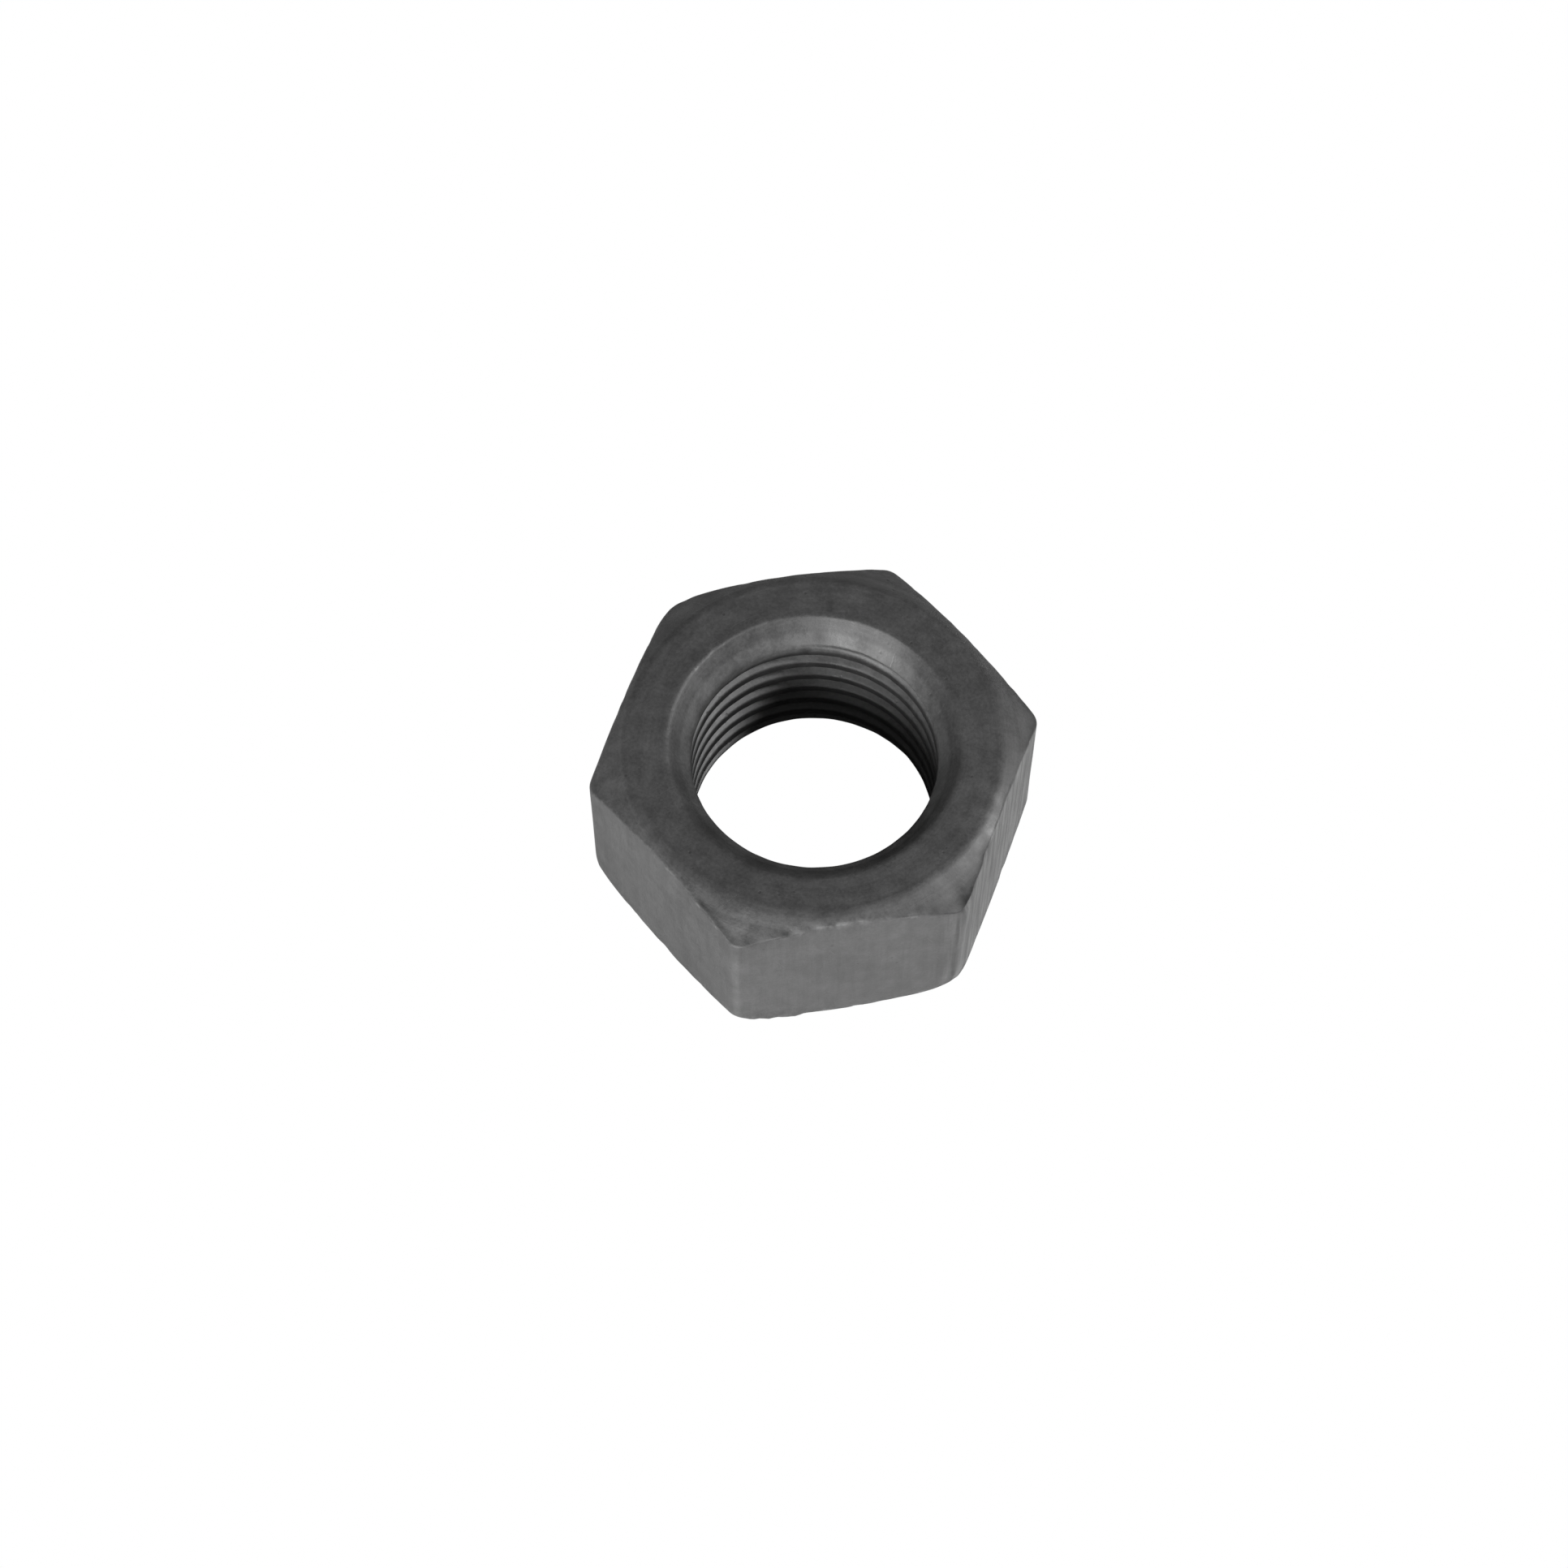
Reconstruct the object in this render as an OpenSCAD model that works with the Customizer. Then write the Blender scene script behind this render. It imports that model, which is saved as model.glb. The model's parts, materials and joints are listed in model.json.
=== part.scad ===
// Plain hexagon nut, size M16 x 1.5, chamfered on both faces.
//
// The origin is on the thread's axis at the lower bearing face, +Z runs along the axis,
// and two of the six wrench flats face +X and -X.

/* [Hexagon] */
// Width between two opposite wrench flats
across_flats = 23.7; // [23:0.1:30]
// Height between the two bearing faces
nut_height = 12.6; // [9:0.1:20]
// How far each vertical corner is turned back from a sharp edge
corner_trim = 0.15; // [0:0.05:0.6]

/* [Bearing faces] */
// Diameter of each flat bearing face as a share of the width across flats
bearing_share = 0.95; // [0.9:0.01:1]
// Angle between the corner chamfer and the bearing face
chamfer_angle = 30; // [15:1:40]

/* [Thread] */
// Nominal thread diameter, to the roots of the thread
thread_d = 16; // [14:0.5:17]
// Distance from one thread to the next
thread_pitch = 1.5; // [1:0.25:2]
// How much wider the bore is than the basic minor diameter
bore_allowance = 0.3; // [0:0.01:0.4]

/* [Countersinks] */
// How much wider than the thread the upper countersink's mouth is
upper_countersink_extra = 1.4; // [0.4:0.1:2.4]
// How much wider than the thread the lower countersink's mouth is
lower_countersink_extra = 2.2; // [0.4:0.1:2.4]
// Full angle of each countersink's cone
countersink_angle = 85; // [60:1:120]

/* [Hidden] */

hex_sides = 6;
// Included angle between the two flanks of a thread groove
flank_angle = 60;
// A cut runs this far past the face that it opens through
cut_past = 1;
smooth = 128;

sharp_corner_r = across_flats / 2 / cos(180 / hex_sides);
corner_r = sharp_corner_r - corner_trim;
bearing_r = bearing_share * across_flats / 2;
chamfer_h = (corner_r - bearing_r) * tan(chamfer_angle);

thread_r = thread_d / 2;
// The sharp triangle behind the thread is this high, and the groove uses 5/8 of it
triangle_h = thread_pitch / (2 * tan(flank_angle / 2));
minor_r = thread_r - 5 / 8 * triangle_h + bore_allowance / 2;
root_w = thread_pitch / 8;
// Grooves above the middle of the nut, and as many below it
grooves_each_way = ceil(nut_height / 2 / thread_pitch);

countersink_slope = tan(countersink_angle / 2);

// The six-sided bar that the nut is cut from, with flats facing +X and -X
module hexagon_bar() {
    rotate(180 / hex_sides)
        cylinder(h = nut_height, r = sharp_corner_r, $fn = hex_sides);
}

// The turned blank: its cones chamfer the hexagon's corners at both faces,
// and its side trims them to the width across corners
module turned_blank() {
    rotate_extrude($fn = smooth)
        polygon([
            [0, 0],
            [bearing_r, 0],
            [corner_r, chamfer_h],
            [corner_r, nut_height - chamfer_h],
            [bearing_r, nut_height],
            [0, nut_height]
        ]);
}

// One turn of the thread as a closed ring: two flanks that narrow outwards to a flat root
module thread_groove() {
    inner_r = minor_r - cut_past;
    inner_w = root_w + 2 * (thread_r - inner_r) * tan(flank_angle / 2);
    rotate_extrude($fn = smooth)
        polygon([
            [inner_r, -inner_w / 2],
            [thread_r, -root_w / 2],
            [thread_r, root_w / 2],
            [inner_r, inner_w / 2]
        ]);
}

// The cone that opens the bore at the lower face
module countersink(extra_d) {
    mouth_r = (thread_d + extra_d) / 2 + cut_past * countersink_slope;
    inner_r = minor_r - cut_past;
    translate([0, 0, -cut_past])
        cylinder(
            h = (mouth_r - inner_r) / countersink_slope,
            r1 = mouth_r,
            r2 = inner_r,
            $fn = smooth
        );
}

// Everything that is cut away along the axis: bore, thread grooves and both countersinks
module threaded_bore() {
    middle = nut_height / 2;
    translate([0, 0, -cut_past])
        cylinder(h = nut_height + 2 * cut_past, r = minor_r, $fn = smooth);
    for (groove = [-grooves_each_way : grooves_each_way - 1])
        translate([0, 0, middle + (groove + 0.5) * thread_pitch])
            thread_groove();
    countersink(lower_countersink_extra);
    translate([0, 0, nut_height])
        mirror([0, 0, 1])
            countersink(upper_countersink_extra);
}

module hex_nut() {
    color("dimgray")
        difference() {
            intersection() {
                hexagon_bar();
                turned_blank();
            }
            threaded_bore();
        }
}

hex_nut();
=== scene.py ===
"""A plain hexagon nut in dark forged steel, with turned faces and a cut thread, on a pale floor.

The CAD frame gives the nut's size and its thread's radius. The nut is one closed mesh: columns of points
stand round the axis, and each column runs once round the nut's cross-section, down the outside and up the
bore. Along the bore the rows of points climb with the thread, so every crest and root is a line of the mesh.
The forging's unevenness, the drawn streaks and the knocks are then pressed into that mesh. Only a few small
burrs stand out from it.
"""
import functools
import json
import math
import random

import bpy
import numpy as np
from mathutils import Matrix, Vector, noise


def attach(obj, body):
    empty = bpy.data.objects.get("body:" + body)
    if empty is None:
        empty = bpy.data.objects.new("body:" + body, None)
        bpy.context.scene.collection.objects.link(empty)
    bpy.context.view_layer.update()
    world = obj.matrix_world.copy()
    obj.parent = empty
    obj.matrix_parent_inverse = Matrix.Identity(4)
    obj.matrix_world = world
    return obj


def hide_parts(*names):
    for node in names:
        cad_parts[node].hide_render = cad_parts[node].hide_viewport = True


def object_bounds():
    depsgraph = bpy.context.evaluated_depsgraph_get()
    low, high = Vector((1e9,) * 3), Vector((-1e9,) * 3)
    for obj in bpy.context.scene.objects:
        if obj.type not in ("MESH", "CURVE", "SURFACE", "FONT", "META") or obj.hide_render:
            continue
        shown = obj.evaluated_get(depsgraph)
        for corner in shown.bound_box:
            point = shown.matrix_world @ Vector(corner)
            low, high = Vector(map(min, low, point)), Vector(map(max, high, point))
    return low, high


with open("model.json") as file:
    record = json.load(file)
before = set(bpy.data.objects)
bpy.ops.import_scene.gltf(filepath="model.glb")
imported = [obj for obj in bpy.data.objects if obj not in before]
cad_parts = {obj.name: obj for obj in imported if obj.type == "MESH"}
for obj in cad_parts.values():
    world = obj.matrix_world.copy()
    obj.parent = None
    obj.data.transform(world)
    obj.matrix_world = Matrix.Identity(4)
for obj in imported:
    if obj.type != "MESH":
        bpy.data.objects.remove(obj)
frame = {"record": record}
cad_low, cad_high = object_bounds()

MM = 0.001
SIDES = 6
SECTOR = 2 * math.pi / SIDES

# ---- The nut's form, in metres. The frame gives the outside and the bore ----
HEIGHT = cad_high.z
FLAT_R = cad_high.x
CORNER_R = cad_high.y
THREAD = next(m for m in frame["record"]["mounts"] if m["name"] == "thread")
CREST_R = THREAD["dims"]["r_mm"] * MM
# The thread is M16 x 1.5
ROOT_R = 8.0 * MM
PITCH = 1.5 * MM
# Height of a groove's middle on the +X side of the bore, as a share of the pitch
THREAD_START = 0.15
# Half the width of the flat along the bottom of the thread's groove
HALF_ROOT = PITCH / 16
# The thread runs out between these heights, before it reaches the upper countersink
RUN_OUT_LOW = HEIGHT - 2.2 * MM
RUN_OUT_HIGH = HEIGHT - 1.3 * MM
BEARING_R = 0.95 * FLAT_R
CHAMFER_SLOPE = math.tan(math.radians(30))
UPPER_MOUTH_R = 8.7 * MM
LOWER_MOUTH_R = 9.1 * MM
SINK_SLOPE = math.tan(math.radians(85 / 2))
FLANK_SLOPE = math.tan(math.radians(60 / 2))
HALF_SECTOR_COS = math.cos(SECTOR / 2)
# The upright corners' radius is what brings the rounded hexagon out to the CAD's width across corners
CORNER_ROUND = (FLAT_R - CORNER_R * HALF_SECTOR_COS) / (1 - HALF_SECTOR_COS)


def hexagon_radius(angle):
    """Distance from the axis to the hexagon's side, whose upright corners are rounded."""
    turn = np.abs((angle + SECTOR / 2) % SECTOR - SECTOR / 2)
    centre_r = (FLAT_R - CORNER_ROUND) / HALF_SECTOR_COS
    half_flat = (FLAT_R - CORNER_ROUND) * math.tan(SECTOR / 2)
    from_corner = SECTOR / 2 - turn
    across = centre_r * np.sin(from_corner)
    corner = centre_r * np.cos(from_corner) + np.sqrt(np.maximum(CORNER_ROUND**2 - across**2, 0))
    return np.where(FLAT_R * np.tan(turn) <= half_flat, FLAT_R / np.cos(turn), corner)


def column_angles():
    """The columns' places round the axis, closer together on the rounded corners than on the flats."""
    corner_start = math.atan2((FLAT_R - CORNER_ROUND) * math.tan(SECTOR / 2), FLAT_R)
    flat = np.linspace(-corner_start, corner_start, 49)
    corner = np.linspace(corner_start, SECTOR - corner_start, 11)[1:-1]
    sector = np.concatenate([flat, corner])
    return np.concatenate([sector + side * SECTOR for side in range(SIDES)])


def wander(angle, waves, seed):
    """Smooth unevenness round the nut, between -1 and 1."""
    place = Vector((math.cos(angle), math.sin(angle), 0)) * waves / 2
    return noise.noise(place + Vector((0, 0, 7.3 * seed)))


# ---- The outside of the cross-section, from the upper countersink round to the lower one ----
def rounded_path(corners, radii, line_steps, arc_steps):
    """Points along a path through the corners, with each inner corner rounded to its radius.

    Each corner is an array with one row of radius and height per column, and each radius is an array too.
    """
    points = [corners[0]]
    for i in range(1, len(corners)):
        inner = i < len(corners) - 1
        start = corners[i]
        if inner:
            into, out = corners[i] - corners[i - 1], corners[i + 1] - corners[i]
            into = into / np.linalg.norm(into, axis=1, keepdims=True)
            out = out / np.linalg.norm(out, axis=1, keepdims=True)
            bend = np.arccos(np.clip((into * out).sum(1), -1, 1))
            reach = (radii[i - 1] * np.tan(bend / 2))[:, None]
            start = corners[i] - into * reach
        last = points[-1]
        for step in range(1, line_steps[i - 1] + 1):
            points.append(last + (start - last) * step / line_steps[i - 1])
        if inner:
            end = corners[i] + out * reach
            for t in np.linspace(0, 1, arc_steps + 1)[1:]:
                points.append((1 - t) ** 2 * start + 2 * t * (1 - t) * corners[i] + t * t * end)
    return np.stack(points, axis=1)


def outside_path(angles):
    """Radius and height of every point down the outside, in one row of points per column."""
    side_r = hexagon_radius(angles)
    ones = np.ones_like(angles)
    drop = (side_r - BEARING_R) * CHAMFER_SLOPE
    sink = 0.6 * MM
    corners = [
        (UPPER_MOUTH_R - sink * SINK_SLOPE, HEIGHT - sink),
        (UPPER_MOUTH_R, HEIGHT),
        (BEARING_R, HEIGHT),
        (side_r, HEIGHT - drop),
        (side_r, drop),
        (BEARING_R, 0),
        (LOWER_MOUTH_R, 0),
        (LOWER_MOUTH_R - sink * SINK_SLOPE, sink),
    ]
    corners = [np.stack([r * ones, z * ones], axis=1) for r, z in corners]
    upper_edge = np.array([0.28 + 0.15 * wander(a, 25, 1) for a in angles]) * MM
    lower_edge = np.array([0.28 + 0.15 * wander(a, 25, 2) for a in angles]) * MM
    # The countersinks' mouths are rounded more at the front than at the back
    mouth = (0.55 - 0.30 * np.sin(angles)) * MM
    # The bearing faces run softly into the chamfers
    bearing = 1.3 * MM * ones
    radii = [mouth, bearing, upper_edge, lower_edge, bearing, mouth]
    return rounded_path(corners, radii, line_steps=[2, 12, 8, 34, 8, 7, 2], arc_steps=5)


# ---- The bore ----
def thread_rows():
    """Heights of one thread's rows above the middle of its groove, over one pitch."""
    crest = HALF_ROOT + (ROOT_R - CREST_R) * FLANK_SLOPE
    half = np.concatenate([
        np.linspace(0, HALF_ROOT, 2),
        np.linspace(HALF_ROOT, crest, 6)[1:],
        np.linspace(crest, PITCH / 2, 4)[1:-1],
    ])
    return np.concatenate([half, [PITCH / 2], PITCH - half[:0:-1]])


def soft_max(a, b, blend):
    """The larger of a and b, rounded over where they meet."""
    return (a + b + np.sqrt((a - b) ** 2 + blend**2)) / 2


def soft_step(value, low, high):
    """0 below low, 1 above high, and smooth between them."""
    t = np.clip((value - low) / (high - low), 0, 1)
    return t * t * (3 - 2 * t)


def bore_radius(angle, z):
    """Radius of the bore's wall: a right-hand thread, opened by a countersink at each end."""
    turns = z / PITCH - angle / (2 * math.pi) - THREAD_START
    from_groove = np.abs(turns - np.round(turns)) * PITCH
    flank = ROOT_R - (from_groove - HALF_ROOT) / FLANK_SLOPE
    blend = 0.05 * MM
    groove = -soft_max(-flank, -ROOT_R, blend)
    groove = groove - (ROOT_R - CREST_R) * soft_step(z, RUN_OUT_LOW, RUN_OUT_HIGH)
    wall = soft_max(groove, CREST_R, blend)
    upper = UPPER_MOUTH_R - (HEIGHT - z) * SINK_SLOPE
    lower = LOWER_MOUTH_R - z * SINK_SLOPE
    return soft_max(wall, soft_max(upper, lower, blend), 3 * blend)


def bore_column(angle, low, high):
    """Numbers and heights of the thread's rows that lie between two heights in one column."""
    rows = thread_rows()
    base = (THREAD_START + angle / (2 * math.pi)) * PITCH
    turns = np.arange(-2, int(HEIGHT / PITCH) + 2)
    heights = (base + turns[:, None] * PITCH + rows[None, :]).ravel()
    numbers = (turns[:, None] * len(rows) + np.arange(len(rows))[None, :]).ravel()
    gap = 0.03 * MM
    inside = (heights > low + gap) & (heights < high - gap)
    return numbers[inside], heights[inside]


# ---- The mesh ----
def nut_mesh():
    """Points and faces of the whole nut, before anything is pressed into it."""
    angles = column_angles()
    outside = outside_path(angles)
    count, steps = outside.shape[:2]
    points, columns = [], []
    for angle, path in zip(angles, outside):
        across = np.array([math.cos(angle), math.sin(angle)])
        first = len(points)
        points += [(*(across * r), z) for r, z in path]
        numbers, heights = bore_column(angle, path[-1, 1], path[0, 1])
        thread = {}
        for number, r, z in zip(numbers, bore_radius(angle, heights), heights):
            thread[number] = len(points)
            points.append((*(across * r), z))
        columns.append((first, thread))
    faces = []
    for i in range(count):
        (here, thread), (there, next_thread) = columns[i], columns[(i + 1) % count]
        if i == count - 1:
            # Once round the nut, the same row of the thread has climbed by one pitch
            next_thread = {number - len(thread_rows()): point for number, point in next_thread.items()}
        for step in range(steps - 1):
            faces.append((here + step, here + step + 1, there + step + 1, there + step))
        shared = sorted(set(thread) & set(next_thread))
        for n in shared[:-1]:
            faces.append((thread[n], thread[n + 1], next_thread[n + 1], next_thread[n]))
        # One larger face closes each end of the thread, where the two columns differ in their rows
        below_up = [thread[n] for n in sorted(thread) if n <= shared[0]]
        below_down = [next_thread[n] for n in sorted(next_thread, reverse=True) if n <= shared[0]]
        above_up = [thread[n] for n in sorted(thread) if n >= shared[-1]]
        above_down = [next_thread[n] for n in sorted(next_thread, reverse=True) if n >= shared[-1]]
        faces.append((here + steps - 1, *below_up, *below_down, there + steps - 1))
        faces.append((here, there, *above_down, *above_up))
    return np.array(points), faces


# ---- What forging, drawing, turning and handling did to the surface ----
# Each knock: an angle round the nut in degrees, then a radius, a height, a size and a depth in mm.
# A depth below zero is a burr that stands out.
KNOCKS = [
    # along the front edge, under the upper chamfer
    (284, 12.3, 12.0, 0.30, 0.06),
    (290, 12.0, 12.1, 0.35, 0.12),
    (297, 11.9, 12.2, 0.25, 0.07),
    (301, 11.9, 12.1, 0.40, 0.13),
    # the battered corner on the right, the edge behind it, and the corner's foot
    (331, 13.4, 11.2, 0.70, 0.16),
    (337, 12.8, 11.7, 0.40, 0.08),
    (346, 12.2, 12.1, 0.45, 0.09),
    (350, 12.0, 12.2, 0.30, 0.08),
    (330, 13.4, 1.5, 0.90, 0.22),
    # two more blunted corners, one at the top and one at the foot
    (150, 13.4, 11.4, 1.20, 0.24),
    (210, 13.4, 0.9, 0.90, 0.12),
    # on the rim of the upper countersink
    (168, 8.6, 12.5, 0.30, 0.03),
    (154, 8.6, 12.5, 0.25, 0.03),
    # a burr left along the front's lower edge
    (274, 13.2, 1.0, 0.45, -0.14),
    (278, 12.8, 0.9, 0.45, -0.16),
    (282, 12.5, 0.8, 0.45, -0.14),
    (285, 12.3, 0.7, 0.40, -0.12),
]
# This many small ones along the sides' upper edges, and as many along their lower edges
SMALL_KNOCKS_PER_END = 30
# Each stain, or patch of painted shade or painted light: an angle in degrees, then a radius, a height and a
# size in mm, and how much darker it is.
# Below zero it is lighter.
STAINS_AND_PAINTED_LIGHT = [
    # dirt on the battered corner's chamfer, and on the chamfer of the corner before it
    (333.5, 12.6, 11.8, 0.50, 0.42),
    (336.5, 12.8, 11.7, 0.35, 0.26),
    (332.0, 13.1, 11.5, 0.45, 0.34),
    (330.0, 13.5, 11.1, 0.25, 0.40),
    (327.5, 12.9, 11.7, 0.40, 0.20),
    (323.5, 12.6, 11.8, 0.35, 0.32),
    (320.0, 12.2, 12.1, 0.30, 0.25),
    (282.0, 12.3, 12.0, 0.30, 0.32),
    (272.5, 13.0, 11.6, 0.35, 0.35),
    # and the lighter middles of those two chamfers
    (270.0, 12.2, 12.1, 0.90, -0.16),
    (330.0, 12.3, 12.0, 0.80, -0.14),
    # the upper chamfer is lighter beside the right-hand side
    (2, 11.4, 12.5, 0.6, -0.40),
    (354, 11.5, 12.4, 0.6, -0.45),
    (351, 11.8, 12.3, 0.30, -0.90),
    (346, 11.7, 12.4, 0.6, -0.40),
    (338, 11.6, 12.4, 0.6, -0.30),
    (329, 11.4, 12.5, 0.6, -0.20),
    # painted shade and light on the countersink's slope: painted shade at the front left, at the front and at
    # the right, painted light at the front right, and at the back a painted highlight near the rim with
    # painted shade below it
    (215, 8.2, 12.0, 1.2, 0.20),
    (242, 8.1, 11.9, 1.2, 0.35),
    (268, 8.1, 11.9, 1.2, 0.30),
    (330, 8.0, 11.8, 1.0, -0.45),
    (10, 8.1, 11.9, 1.3, 0.20),
    (75, 8.2, 12.0, 0.8, -0.15),
    (63, 8.2, 12.0, 0.8, -0.15),
    (108, 7.8, 11.6, 0.6, 0.30),
    (88, 7.8, 11.6, 0.6, 0.25),
    # small dark marks on the top face and on the first threads
    (293, 10.8, 12.6, 0.4, 0.25),
    (298, 10.9, 12.6, 0.4, 0.20),
    (104, 9.2, 12.6, 0.25, 0.30),
    (104, 9.7, 12.6, 0.25, 0.30),
    (114, 7.5, 10.7, 0.30, 0.60),
    (114, 7.5, 9.9, 0.30, 0.60),
]
# Each upright line along a corner: an angle in degrees, a width in mm, and how much darker it is.
# Below zero it is lighter.
CORNER_LINES = [
    (30, 0.30, -0.15),
    (90, 0.30, -0.20),
    (150, 0.30, -0.10),
    (210, 0.30, -0.15),
    (270, 0.30, -0.20),
    (328.8, 0.18, 0.40),
]
# Each mark along the upper edges of the sides: from one angle to another, how far up the chamfer and how wide
# in mm, and how much darker it is. Below zero it is lighter.
EDGE_MARKS = [
    (256, 270, 0.25, 0.18, 0.40),
    (271, 283, 0.10, 0.20, 0.15),
    (290, 292, 0.00, 0.15, -0.30),
    (295, 300, 0.00, 0.18, -0.60),
    (303, 305, 0.00, 0.16, -0.50),
    (331, 346, 0.10, 0.25, 0.28),
    (20, 42, 0.00, 0.35, 0.35),
]


def small_knocks():
    """Scattered small knocks along the upper and lower edges of the six sides."""
    chance = random.Random(16)
    knocks = []
    for upper in (True, False):
        for _ in range(SMALL_KNOCKS_PER_END):
            angle = chance.uniform(0, 2 * math.pi)
            radius = float(hexagon_radius(angle))
            drop = (radius - BEARING_R) * CHAMFER_SLOPE
            height = HEIGHT - drop if upper else drop
            size, depth = chance.uniform(0.2, 0.35), chance.uniform(0.01, 0.04)
            knocks.append((math.degrees(angle), radius / MM, height / MM, size, depth))
    return knocks


def unevenness(points, wavelength):
    """Smooth noise between -1 and 1 at each point. The wavelength may be one length, or one for each axis."""
    scaled = points / wavelength
    return np.array([noise.noise(Vector(p)) for p in scaled])


def patches(points, marks):
    """Sum of round soft patches, one for each mark: angle, radius, height, size and strength."""
    total = np.zeros(len(points))
    for angle, radius, height, size, strength in marks:
        a = math.radians(angle)
        centre = np.array([math.cos(a) * radius, math.sin(a) * radius, height]) * MM
        away = np.linalg.norm(points - centre, axis=1) / (size * MM)
        total += strength * np.exp(-away**2)
    return total


def edge_offset(points):
    """Distance of each point from the upper edge of its side: up the chamfer, or below zero down the side."""
    r = np.hypot(points[:, 0], points[:, 1])
    side_r = hexagon_radius(np.arctan2(points[:, 1], points[:, 0]))
    rise = points[:, 2] - (HEIGHT - (side_r - BEARING_R) * CHAMFER_SLOPE)
    return np.copysign(np.hypot(r - side_r, rise), rise)


def edge_marks(points):
    """Sum of the soft marks that run along the upper edges of the sides."""
    angle = np.degrees(np.arctan2(points[:, 1], points[:, 0])) % 360
    offset = edge_offset(points) / MM
    total = np.zeros(len(points))
    for start, end, middle, width, strength in EDGE_MARKS:
        along = soft_step(angle, start - 1, start + 1) * (1 - soft_step(angle, end - 1, end + 1))
        total += strength * along * np.exp(-(((offset - middle) / width) ** 2))
    return total


def surface_kinds(points, normals):
    """Three shares at each point that add up to 1: drawn side, turned face or countersink, and thread."""
    r = np.hypot(points[:, 0], points[:, 1])
    thread = 1 - soft_step(r, ROOT_R - 0.1 * MM, ROOT_R + 0.15 * MM)
    side = (1 - thread) * (1 - soft_step(np.abs(normals[:, 2]), 0.25, 0.6)) * (r > UPPER_MOUTH_R)
    return side, 1 - thread - side, thread


def pressed(points, normals):
    """The points after the forging's unevenness, the tools' marks and the knocks."""
    side, turned, thread = surface_kinds(points, normals)
    r = np.hypot(points[:, 0], points[:, 1])
    rings = np.stack([r, np.zeros_like(r), points[:, 2]], axis=1)
    depth = 0.015 * side * (1 + unevenness(points, 4.0 * MM))
    depth += 0.004 * side * (1 + unevenness(points, np.array([0.9, 0.9, 12]) * MM))
    depth += 0.008 * turned * (1 + unevenness(rings, 0.35 * MM))
    depth += 0.02 * thread * (1 + unevenness(points, 0.9 * MM))
    depth += patches(points, KNOCKS + small_knocks())
    return points - normals * (depth * MM)[:, None]


def edge_wear(points):
    """Share of wear at each point: most along the edges of the sides and the countersinks' rims."""
    r = np.hypot(points[:, 0], points[:, 1])
    upside_down = points * (1, 1, -1) + (0, 0, HEIGHT)
    to_edge = np.minimum(np.abs(edge_offset(points)), np.abs(edge_offset(upside_down)))
    to_upper_rim = np.hypot(r - UPPER_MOUTH_R, points[:, 2] - HEIGHT)
    to_lower_rim = np.hypot(r - LOWER_MOUTH_R, points[:, 2])
    to_rim = np.minimum(to_upper_rim, to_lower_rim)
    width = 0.22 * MM
    return np.maximum(np.exp(-((to_edge / width) ** 2)), 0.5 * np.exp(-((to_rim / width) ** 2)))


def corner_lines(points, side):
    """Sum of the soft upright lines along the corners."""
    angle = np.arctan2(points[:, 1], points[:, 0]) % (2 * math.pi)
    total = np.zeros(len(points))
    for middle, width, strength in CORNER_LINES:
        away = (angle - math.radians(middle)) * CORNER_R / (width * MM)
        total += strength * np.exp(-away**2)
    return side * total


def crest_share(points):
    """How far each point is on the thread's crests, the hole's own wall that the tap left uncut."""
    r = np.hypot(points[:, 0], points[:, 1])
    below_run_out = 1 - soft_step(points[:, 2], RUN_OUT_LOW, HEIGHT - 1.8 * MM)
    return below_run_out * (1 - soft_step(r, CREST_R + 0.03 * MM, CREST_R + 0.14 * MM))


def rubbed_and_sheen_share(points, side):
    """The side facing +X is painted brighter than the rest, partly as streaky rubbing and partly as a painted
    sheen for its grazing reflection, and the edges of its two neighbours are too.
    """
    angle = np.arctan2(points[:, 1], points[:, 0])
    return side * soft_step(np.cos(angle), 0.80, 0.90)


def give_attribute(mesh, name, values):
    """Stores one value per point on the mesh, for the material to read."""
    mesh.attributes.new(name, "FLOAT", "POINT").data.foreach_set("value", values.astype(np.float32))


def make_nut():
    """The nut's mesh, with the material's attributes taken before anything is pressed into it."""
    points, faces = nut_mesh()
    mesh = bpy.data.meshes.new("nut")
    mesh.from_pydata([tuple(p) for p in points], [], faces)
    normals = np.empty(len(points) * 3)
    mesh.vertices.foreach_get("normal", normals)
    normals = normals.reshape(-1, 3)
    side, turned, thread = surface_kinds(points, normals)
    give_attribute(mesh, "side", side)
    give_attribute(mesh, "turned", turned)
    give_attribute(mesh, "cut", thread * (1 - crest_share(points)))
    give_attribute(mesh, "crest", crest_share(points))
    give_attribute(mesh, "edge", edge_wear(points))
    # Share of streaky rubbing and painted sheen on the +X side
    give_attribute(mesh, "rubbed_and_sheen", rubbed_and_sheen_share(points, side))
    give_attribute(mesh, "corner", corner_lines(points, side))
    # Stains, with patches of painted shade and painted light on the countersink
    give_attribute(mesh, "stain_and_painted_light", patches(points, STAINS_AND_PAINTED_LIGHT) + edge_marks(points))
    mesh.vertices.foreach_set("co", pressed(points, normals).ravel())
    mesh.polygons.foreach_set("use_smooth", [True] * len(mesh.polygons))
    mesh.update()
    nut = bpy.data.objects.new("nut", mesh)
    bpy.context.scene.collection.objects.link(nut)
    return nut


# ---- Material ----
SCALE_GREY = 0.17
BARE_GREY = 0.36


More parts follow.
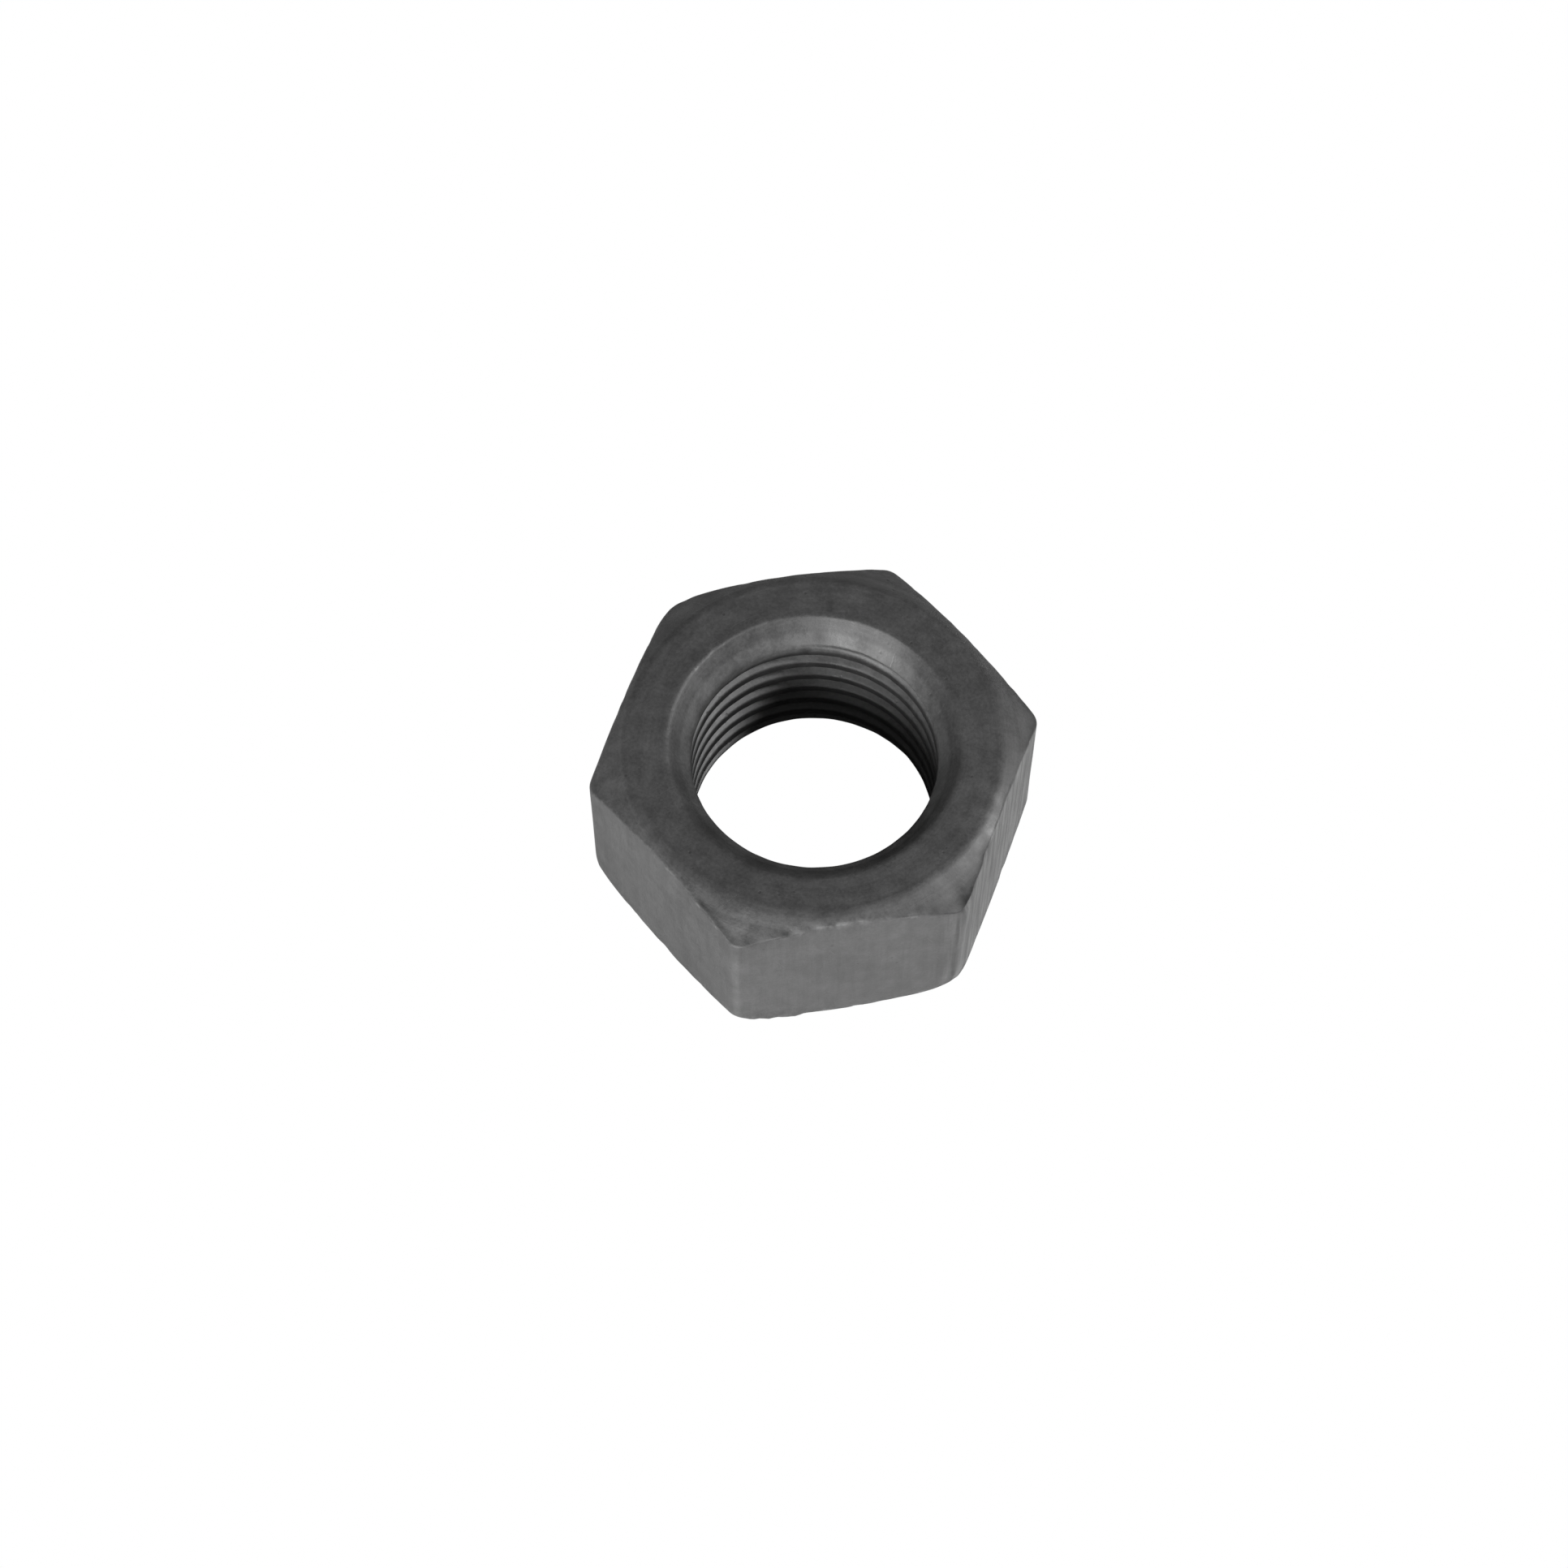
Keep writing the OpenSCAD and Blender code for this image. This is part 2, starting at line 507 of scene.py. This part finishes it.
class Nodes:
    """Short ways to add shader nodes to one material."""

    def __init__(self, name):
        self.material = bpy.data.materials.new(name)
        self.material.use_nodes = True
        self.tree = self.material.node_tree
        self.shader = self.tree.nodes["Principled BSDF"]
        self.output = self.tree.nodes["Material Output"]

    def add(self, kind, inputs=None, **settings):
        """A node with its inputs set to values, or linked where they are sockets."""
        node = self.tree.nodes.new(kind)
        for key, value in settings.items():
            setattr(node, key, value)
        for key, value in (inputs or {}).items():
            if isinstance(value, bpy.types.NodeSocket):
                self.tree.links.new(value, node.inputs[key])
            else:
                node.inputs[key].default_value = value
        return node

    def attribute(self, name):
        return self.add("ShaderNodeAttribute", attribute_name=name).outputs["Fac"]

    def math(self, operation, a, b=0.0):
        return self.add("ShaderNodeMath", {0: a, 1: b}, operation=operation).outputs[0]

    def product(self, *values):
        return functools.reduce(lambda a, b: self.math("MULTIPLY", a, b), values)

    def total(self, *values):
        return functools.reduce(lambda a, b: self.math("ADD", a, b), values)

    def scaled(self, vector, scale):
        return self.add("ShaderNodeVectorMath", {0: vector, 1: scale}, operation="MULTIPLY").outputs[0]

    def noise(self, vector, wavelength, detail=2.0, rough=0.5):
        """Noise between 0 and 1 whose main waves are this long in mm, or this long along each axis."""
        lengths = wavelength if isinstance(wavelength, tuple) else (wavelength,) * 3
        vector = self.scaled(vector, tuple(1 / (length * MM) for length in lengths))
        inputs = {"Vector": vector, "Scale": 1.0, "Detail": detail, "Roughness": rough}
        return self.add("ShaderNodeTexNoise", inputs).outputs["Fac"]

    def spread(self, value, low, high, to_low=0.0, to_high=1.0):
        """Maps low..high to to_low..to_high, and holds at both ends."""
        inputs = {"Value": value, "From Min": low, "From Max": high, "To Min": to_low, "To Max": to_high}
        return self.add("ShaderNodeMapRange", inputs, interpolation_type="SMOOTHSTEP").outputs[0]

    def mix(self, share, a, b):
        node = self.add("ShaderNodeMix", data_type="RGBA")
        for socket, value in zip((node.inputs[0], node.inputs[6], node.inputs[7]), (share, a, b)):
            if isinstance(value, bpy.types.NodeSocket):
                self.tree.links.new(value, socket)
            else:
                socket.default_value = value
        return node.outputs[2]


def grey(value):
    return (value, value, value, 1)


def scratches(m, place, turn):
    """A few thin straight scratches, all running one way, as a value between 0 and 1."""
    inputs = {"Vector": place, "Angle": turn, "Axis": (0.3, 0.2, 1.0)}
    turned = m.add("ShaderNodeVectorRotate", inputs).outputs[0]
    return m.spread(m.noise(turned, (0.08, 4.0, 4.0), detail=1.0), 0.74, 0.80)


def pits(m, place):
    """Small scattered pits in the scale, as a value between 0 and 1."""
    cells = m.add("ShaderNodeTexVoronoi", {"Vector": m.scaled(place, (1 / MM,) * 3), "Scale": 1.3})
    hollow = m.spread(cells.outputs["Distance"], 0.05, 0.16, 1.0, 0.0)
    return m.math("MULTIPLY", hollow, m.spread(m.noise(place, 2.5), 0.5, 0.6))


def steel_material():
    """Dark heat-scaled steel: mottled, streaked up the sides, ringed where turned, bare at worn edges,
    stained, with painted shade and light on the countersink and a painted sheen on the +X side.
    """
    m = Nodes("dark_steel")
    place = m.add("ShaderNodeTexCoord").outputs["Object"]
    x, y, z = m.add("ShaderNodeSeparateXYZ", {0: place}).outputs
    radius = m.math("SQRT", m.math("ADD", m.math("MULTIPLY", x, x), m.math("MULTIPLY", y, y)))
    # Rings follow the radius and the height, and fade in and out slowly round the nut
    ring_place = m.add("ShaderNodeCombineXYZ", {0: radius, 1: m.math("MULTIPLY", x, 0.03), 2: z}).outputs[0]
    side, turned, edge = m.attribute("side"), m.attribute("turned"), m.attribute("edge")
    cut, crest, rubbed_and_sheen = m.attribute("cut"), m.attribute("crest"), m.attribute("rubbed_and_sheen")

    clouds = m.noise(place, 5.0, detail=3.0)
    mottle = m.noise(place, 1.1, detail=4.0, rough=0.6)
    grain = m.noise(place, 0.2, detail=5.0, rough=0.7)
    streaks = m.noise(place, (0.5, 0.5, 8.0), detail=5.0, rough=0.65)
    rings = m.noise(ring_place, 0.5, detail=6.0, rough=0.7)
    scratch = m.math("MAXIMUM", scratches(m, place, 0.7), scratches(m, place, 2.3))
    pit = pits(m, place)

    def share(value, low, high, change):
        """A factor round 1 that goes from 1 - change to 1 + change."""
        return m.spread(value, low, high, 1 - change, 1 + change)

    tone = m.product(
        share(clouds, 0.25, 0.75, 0.1),
        share(mottle, 0.25, 0.75, 0.14),
        share(grain, 0.3, 0.7, 0.12),
    )
    side_tone = m.math("MULTIPLY", side, m.spread(streaks, 0.3, 0.7, -0.06, 0.06))
    ring_tone = m.math("MULTIPLY", turned, m.spread(rings, 0.3, 0.7, -0.09, 0.09))
    thread_tone = m.math("SUBTRACT", m.math("MULTIPLY", cut, 0.35), m.math("MULTIPLY", crest, 0.50))
    # The +X side is lighter in streaks: partly rubbing, partly a painted sheen for its grazing reflection of
    # the pale floor
    rub_and_sheen_tone = m.math("MULTIPLY", rubbed_and_sheen, m.spread(streaks, 0.35, 0.65, 0.1, 0.9))
    corner_tone = m.math("MULTIPLY", m.attribute("corner"), m.spread(clouds, 0.35, 0.65, 0.6, 1.4))
    tone = m.product(tone, m.total(1.0, side_tone, ring_tone, thread_tone, rub_and_sheen_tone))
    # Stains darken the steel; on the countersink some patches are painted shade and painted light instead
    stain_and_painted_light = m.math("MULTIPLY", m.attribute("stain_and_painted_light"), m.spread(mottle, 0.35, 0.6, 0.6, 1.3))
    pit_tone = m.math("SUBTRACT", 1.0, m.math("MULTIPLY", pit, 0.25))
    tone = m.product(tone, m.math("SUBTRACT", 1.0, stain_and_painted_light), m.math("SUBTRACT", 1.0, corner_tone), pit_tone)
    scale_inputs = {0: (SCALE_GREY,) * 3, "Scale": tone}
    scaled_grey = m.add("ShaderNodeVectorMath", scale_inputs, operation="SCALE").outputs[0]
    bare = m.math("MULTIPLY", edge, m.spread(m.noise(place, 0.8, detail=3.0), 0.54, 0.70))
    # Dirt, and the painted shade among the stains, cover the bare edges
    bare = m.math("MULTIPLY", bare, m.spread(stain_and_painted_light, 0.0, 0.25, 0.5, 0.0))
    bare = m.math("MAXIMUM", bare, m.math("MULTIPLY", scratch, 0.12))
    m.tree.links.new(m.mix(bare, scaled_grey, grey(BARE_GREY)), m.shader.inputs["Base Color"])

    dull = m.total(m.spread(mottle, 0.3, 0.7, 0.50, 0.60), m.spread(grain, 0.3, 0.7, -0.06, 0.06))
    m.tree.links.new(m.math("SUBTRACT", dull, m.math("MULTIPLY", bare, 0.3)), m.shader.inputs["Roughness"])
    m.shader.inputs["Metallic"].default_value = 0.5

    # Heights in mm
    height = m.total(
        m.math("MULTIPLY", grain, 0.014),
        m.math("MULTIPLY", mottle, 0.02),
        m.math("MULTIPLY", side, m.math("MULTIPLY", streaks, 0.03)),
        m.math("MULTIPLY", turned, m.math("MULTIPLY", rings, 0.016)),
        m.math("MULTIPLY", pit, -0.015),
        m.math("MULTIPLY", scratch, -0.004),
    )
    bump = m.add("ShaderNodeBump", {"Height": height, "Distance": MM, "Strength": 1.0})
    m.tree.links.new(bump.outputs[0], m.shader.inputs["Normal"])
    return m.material


# ---- Floor, background, lights and camera ----
def white_to_camera(tree, output, other):
    """Shows pure white to the camera, and the other shader to every ray that lights the nut."""
    white = tree.nodes.new("ShaderNodeEmission")
    path = tree.nodes.new("ShaderNodeLightPath")
    mix = tree.nodes.new("ShaderNodeMixShader")
    tree.links.new(path.outputs["Is Camera Ray"], mix.inputs[0])
    tree.links.new(other, mix.inputs[1])
    tree.links.new(white.outputs[0], mix.inputs[2])
    tree.links.new(mix.outputs[0], output)


def make_floor():
    """A pale floor that is plain white to the camera, and that glows a little to light the nut."""
    half = 4.0
    mesh = bpy.data.meshes.new("floor")
    corners = [(-half, -half, 0), (half, -half, 0), (half, half, 0), (-half, half, 0)]
    mesh.from_pydata(corners, [], [(0, 1, 2, 3)])
    floor = bpy.data.objects.new("floor", mesh)
    bpy.context.scene.collection.objects.link(floor)
    m = Nodes("floor")
    m.shader.inputs["Base Color"].default_value = grey(0.8)
    m.shader.inputs["Roughness"].default_value = 0.9
    m.shader.inputs["Emission Color"].default_value = grey(1)
    # The glow lights the nut, most from close behind it, but none comes from where the nut stands
    place = m.add("ShaderNodeTexCoord").outputs["Object"]
    away = m.add("ShaderNodeVectorMath", {0: place}, operation="LENGTH").outputs["Value"]
    behind = m.spread(m.add("ShaderNodeSeparateXYZ", {0: place}).outputs["Y"], 0.5 * CORNER_R, 1.5 * CORNER_R)
    close_behind = m.product(behind, m.spread(away, 2 * CORNER_R, 2.6 * CORNER_R, 0.8, 0.0))
    uncovered = m.spread(away, 0.5 * CORNER_R, CORNER_R)
    m.tree.links.new(m.product(uncovered, m.total(0.21, close_behind)), m.shader.inputs["Emission Strength"])
    white_to_camera(m.tree, m.output.inputs[0], m.shader.outputs[0])
    mesh.materials.append(m.material)


def make_background():
    """A surround that is plain white to the camera, and dim grey in the nut's light and reflections."""
    world = bpy.data.worlds.new("world")
    world.use_nodes = True
    background = world.node_tree.nodes["Background"]
    background.inputs["Color"].default_value = grey(0.062)
    white_to_camera(world.node_tree, world.node_tree.nodes["World Output"].inputs[0], background.outputs[0])
    bpy.context.scene.world = world


def direction(azimuth, elevation):
    """Unit vector from the nut towards a place round it: azimuth 0 is the front, -Y, and 90 is +X."""
    a, e = math.radians(azimuth), math.radians(elevation)
    return Vector((math.sin(a) * math.cos(e), -math.cos(a) * math.cos(e), math.sin(e)))


def make_light(name, azimuth, elevation, width, height, power):
    """A soft lamp that faces the nut and that the camera doesn't see."""
    distance = 0.6
    data = bpy.data.lights.new(name, "AREA")
    data.shape = "ELLIPSE"
    data.size = width
    data.size_y = height
    data.energy = power
    lamp = bpy.data.objects.new(name, data)
    towards = direction(azimuth, elevation)
    lamp.visible_camera = False
    lamp.location = Vector((0, 0, HEIGHT / 2)) + towards * distance
    lamp.rotation_mode = "QUATERNION"
    lamp.rotation_quaternion = towards.to_track_quat("Z", "Y")
    bpy.context.scene.collection.objects.link(lamp)


def make_camera():
    """A view from above and a little to the right, with the nut just off the middle of the picture."""
    azimuth, elevation, roll = 19.76, 62.66, 0.37
    across_flats = 2 * FLAT_R
    distance = 9.658 * across_flats
    # Share of the picture's width that the distance across flats fills
    fill = 0.249
    off_right, off_up = 0.0755 * across_flats, -0.0211 * across_flats
    back = direction(azimuth, elevation)
    right = direction(azimuth + 90, 0)
    turn = Matrix.Rotation(math.radians(roll), 3, back)
    right, up = turn @ right, turn @ back.cross(right)
    data = bpy.data.cameras.new("camera")
    data.lens = fill * data.sensor_width * distance / across_flats
    data.clip_start = 0.01
    camera = bpy.data.objects.new("camera", data)
    place = Vector((0, 0, HEIGHT / 2)) + back * distance - right * off_right - up * off_up
    camera.matrix_world = Matrix.Translation(place) @ Matrix((right, up, back)).transposed().to_4x4()
    bpy.context.scene.collection.objects.link(camera)
    bpy.context.scene.camera = camera


nut = make_nut()
nut.data.materials.append(steel_material())
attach(nut, "root")
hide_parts("hex_nut")

make_floor()
make_background()
make_light("front", azimuth=-7, elevation=17, width=0.42, height=0.24, power=2.7)
make_light("right", azimuth=109, elevation=42, width=0.12, height=0.12, power=1.38)
make_light("back_right", azimuth=150, elevation=0, width=0.3, height=0.012, power=0.2)
make_light("back_left", azimuth=265, elevation=0, width=0.3, height=0.012, power=0.2)
make_camera()
bpy.context.scene.view_settings.view_transform = "Standard"
